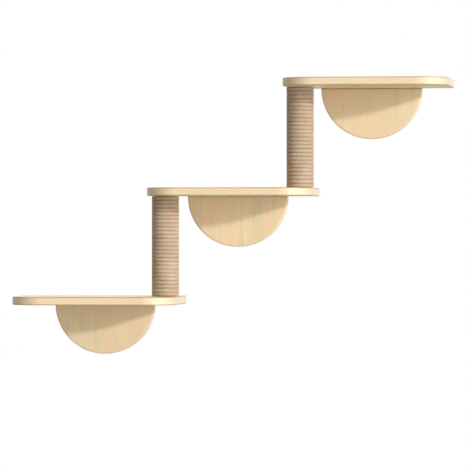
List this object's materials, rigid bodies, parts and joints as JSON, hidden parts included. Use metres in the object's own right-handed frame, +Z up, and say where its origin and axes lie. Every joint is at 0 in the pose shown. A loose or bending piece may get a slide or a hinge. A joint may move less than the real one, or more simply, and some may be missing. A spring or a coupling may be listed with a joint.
{
  "type": "wall-mounted cat climbing shelves",
  "caption": "Staircase of rounded wooden wall shelves for a cat to climb, each on a half-round wall plate that hangs on keyholes, linked by rope-wound scratching posts.",
  "frame": {"origin": "on the back face of the middle wall plate, where it meets the wall, halfway between its two hanging points", "axes": "+Z up, +X along the wall to the right as the room sees it, the way that the steps rise, +Y into the wall, square to it"},
  "size_m": [0.964, 0.24, 0.6108],
  "materials": {
    "lacquered_pine": "clear satin lacquer",
    "beech": "bare",
    "sisal_rope": "rough twisted fibre",
    "kraft_paper_tube": "matte paperboard",
    "zinc_plated_steel": "zinc plated"
  },
  "bodies": {
    "root": {"lower_shelf": "lacquered_pine", "lower_wall_plate": "lacquered_pine", "lower_left_keyhole_hanger": "zinc_plated_steel", "lower_left_keyhole_hanger_upper_screw": "zinc_plated_steel", "lower_left_keyhole_hanger_lower_screw": "zinc_plated_steel", "lower_left_shelf_bolt": "zinc_plated_steel", "lower_left_cross_nut": "zinc_plated_steel", "lower_left_dowel": "beech", "lower_right_keyhole_hanger": "zinc_plated_steel", "lower_right_keyhole_hanger_upper_screw": "zinc_plated_steel", "lower_right_keyhole_hanger_lower_screw": "zinc_plated_steel", "lower_right_shelf_bolt": "zinc_plated_steel", "lower_right_cross_nut": "zinc_plated_steel", "lower_right_dowel": "beech", "middle_shelf": "lacquered_pine", "middle_wall_plate": "lacquered_pine", "middle_left_keyhole_hanger": "zinc_plated_steel", "middle_left_keyhole_hanger_upper_screw": "zinc_plated_steel", "middle_left_keyhole_hanger_lower_screw": "zinc_plated_steel", "middle_left_shelf_bolt": "zinc_plated_steel", "middle_left_cross_nut": "zinc_plated_steel", "middle_left_dowel": "beech", "middle_right_keyhole_hanger": "zinc_plated_steel", "middle_right_keyhole_hanger_upper_screw": "zinc_plated_steel", "middle_right_keyhole_hanger_lower_screw": "zinc_plated_steel", "middle_right_shelf_bolt": "zinc_plated_steel", "middle_right_cross_nut": "zinc_plated_steel", "middle_right_dowel": "beech", "upper_shelf": "lacquered_pine", "upper_wall_plate": "lacquered_pine", "upper_left_keyhole_hanger": "zinc_plated_steel", "upper_left_keyhole_hanger_upper_screw": "zinc_plated_steel", "upper_left_keyhole_hanger_lower_screw": "zinc_plated_steel", "upper_left_shelf_bolt": "zinc_plated_steel", "upper_left_cross_nut": "zinc_plated_steel", "upper_left_dowel": "beech", "upper_right_keyhole_hanger": "zinc_plated_steel", "upper_right_keyhole_hanger_upper_screw": "zinc_plated_steel", "upper_right_keyhole_hanger_lower_screw": "zinc_plated_steel", "upper_right_shelf_bolt": "zinc_plated_steel", "upper_right_cross_nut": "zinc_plated_steel", "upper_right_dowel": "beech", "lower_post_tube": "kraft_paper_tube", "lower_post_rope": "sisal_rope", "lower_post_bottom_plug": "beech", "lower_post_bottom_insert": "zinc_plated_steel", "lower_post_bottom_bolt": "zinc_plated_steel", "lower_post_top_plug": "beech", "lower_post_top_insert": "zinc_plated_steel", "lower_post_top_bolt": "zinc_plated_steel", "middle_post_tube": "kraft_paper_tube", "middle_post_rope": "sisal_rope", "middle_post_bottom_plug": "beech", "middle_post_bottom_insert": "zinc_plated_steel", "middle_post_bottom_bolt": "zinc_plated_steel", "middle_post_top_plug": "beech", "middle_post_top_insert": "zinc_plated_steel", "middle_post_top_bolt": "zinc_plated_steel"}
  },
  "joints": []
}
